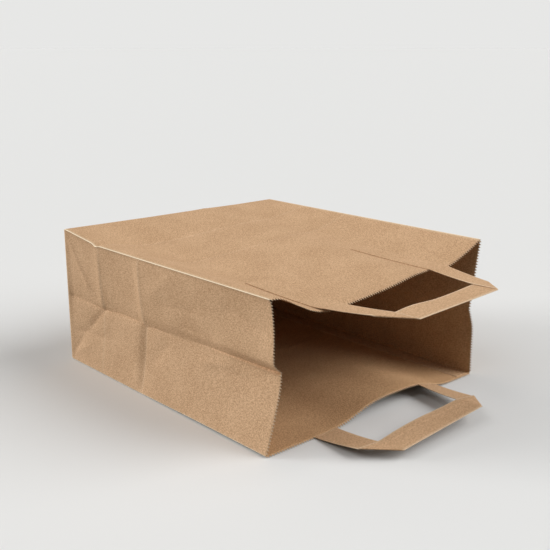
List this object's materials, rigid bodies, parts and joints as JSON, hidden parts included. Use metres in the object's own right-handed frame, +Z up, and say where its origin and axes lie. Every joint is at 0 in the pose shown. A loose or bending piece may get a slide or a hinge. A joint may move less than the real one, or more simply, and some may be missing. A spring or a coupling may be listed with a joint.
{
  "type": "paper carrier bag",
  "caption": "Block-bottom kraft paper carrier bag lying open on its back panel, with side gussets, a pinked mouth and flat folded paper handles.",
  "frame": {"origin": "centre of the underside of the bag's bounding box, on the floor that the back panel lies on", "axes": "+X across the bag to the far gusset, +Y along the bag from the mouth and handles to the block bottom, +Z up from the back panel to the front panel"},
  "size_m": [0.225, 0.3114, 0.112],
  "materials": {
    "kraft_sheet": "matt brown kraft paper with a fine fibre grain",
    "kraft_strip": "matt brown kraft paper, folded into a flat strip of several plies"
  },
  "bodies": {
    "root": {"bag_body": "kraft_sheet", "front_handle": "kraft_strip", "back_handle": "kraft_strip"}
  },
  "joints": []
}
